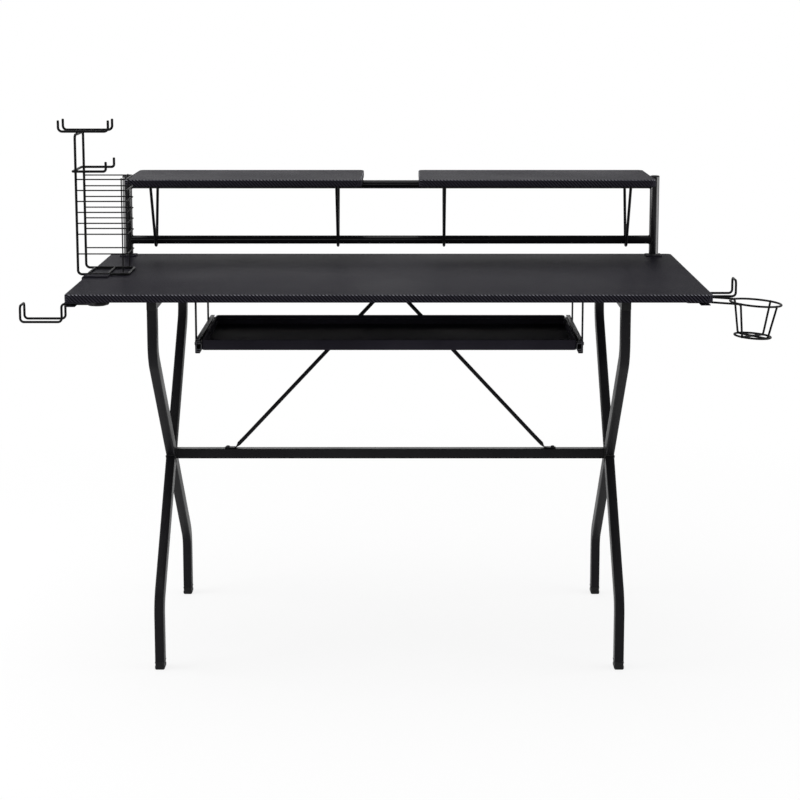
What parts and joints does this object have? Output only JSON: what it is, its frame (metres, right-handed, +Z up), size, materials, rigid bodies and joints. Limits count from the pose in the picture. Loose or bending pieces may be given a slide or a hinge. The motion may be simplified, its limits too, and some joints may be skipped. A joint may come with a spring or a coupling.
{
  "type": "computer desk",
  "caption": "Computer desk on crossed tube legs with a sliding keyboard tray, raised monitor shelves, clamp-on wire rack, headset hooks and a wire cup holder.",
  "frame": {"origin": "on the floor, at the middle of the footprint of the whole object, its end fittings counted", "axes": "+X to the right for someone sitting at the desk, +Y away from them, +Z up"},
  "size_m": [1.426, 0.64, 1.0443],
  "materials": {
    "painted_steel": "fine satin black powder coat",
    "wire_paint": "satin black dipped coat on steel wire",
    "carbon_laminate": "particle board wrapped in dark grey twill-pattern film, satin",
    "black_plastic": "fine moulded texture",
    "plain_steel": "zinc plated, lightly brushed",
    "dark_zinc": "black zinc plated"
  },
  "bodies": {
    "desk_frame": {"desktop": "carbon_laminate", "left_leg_main_tube": "painted_steel", "left_leg_upper_tube": "painted_steel", "left_leg_lower_tube": "painted_steel", "left_top_rail": "painted_steel", "left_front_foot": "black_plastic", "left_rear_foot": "black_plastic", "right_leg_main_tube": "painted_steel", "right_leg_upper_tube": "painted_steel", "right_leg_lower_tube": "painted_steel", "right_top_rail": "painted_steel", "right_front_foot": "black_plastic", "right_rear_foot": "black_plastic", "crossbar": "painted_steel", "top_stretcher": "painted_steel", "brace_bracket": "painted_steel", "left_brace": "painted_steel", "right_brace": "painted_steel", "left_post_flange": "painted_steel", "left_hutch_post": "painted_steel", "left_post_cap": "black_plastic", "right_post_flange": "painted_steel", "right_hutch_post": "painted_steel", "right_post_cap": "black_plastic", "hutch_lower_rail": "painted_steel", "hutch_upper_rail": "painted_steel", "left_shelf": "carbon_laminate", "left_outer_prop": "painted_steel", "left_inner_prop": "painted_steel", "right_shelf": "carbon_laminate", "right_outer_prop": "painted_steel", "right_inner_prop": "painted_steel", "rack_frame": "wire_paint", "rack_grid": "wire_paint", "rack_front_top_bar": "wire_paint", "rack_rear_top_bar": "wire_paint", "rack_side_hook": "wire_paint", "clamp_bracket": "painted_steel", "left_mount_plate": "painted_steel", "right_mount_plate": "painted_steel", "left_headset_hook": "wire_paint", "right_headset_hook": "wire_paint", "cup_holder": "wire_paint", "left_outer_slide": "dark_zinc", "left_front_hanger": "painted_steel", "left_rear_hanger": "painted_steel", "right_outer_slide": "dark_zinc", "right_front_hanger": "painted_steel", "right_rear_hanger": "painted_steel"},
    "tray": {"keyboard_tray": "painted_steel", "left_inner_slide": "plain_steel", "right_inner_slide": "plain_steel"},
    "middle_slides": {"left_middle_slide": "plain_steel", "right_middle_slide": "plain_steel"},
    "clamp_pad": {"clamp_pad": "black_plastic"},
    "clamp_screw": {"clamp_screw": "plain_steel", "clamp_knob": "black_plastic"}
  },
  "joints": [
    {"name": "tray_travel", "type": "slide", "parent": "desk_frame", "child": "tray", "axis": [0, -1, 0], "range_m": [0, 0.24]},
    {"name": "middle_slide_travel", "type": "slide", "parent": "desk_frame", "child": "middle_slides", "axis": [0, -1, 0], "range_m": [0, 0.121]},
    {"name": "clamp_pad_travel", "type": "slide", "parent": "desk_frame", "child": "clamp_pad", "axis": [0, 0, 1], "range_m": [-0.012, 0]},
    {"name": "clamp_screw_turn", "type": "hinge", "parent": "clamp_pad", "child": "clamp_screw", "pos_m": [-0.6017, -0.0798, 0.7], "axis": [0, 0, 1], "range_deg": [-2881, 0]}
  ],
  "couplings": [
    {"joint": "middle_slide_travel", "follows": "tray_travel", "ratio": 0.5},
    {"joint": "clamp_screw_turn", "follows": "clamp_pad_travel", "rad_per_m": 4188.8}
  ]
}
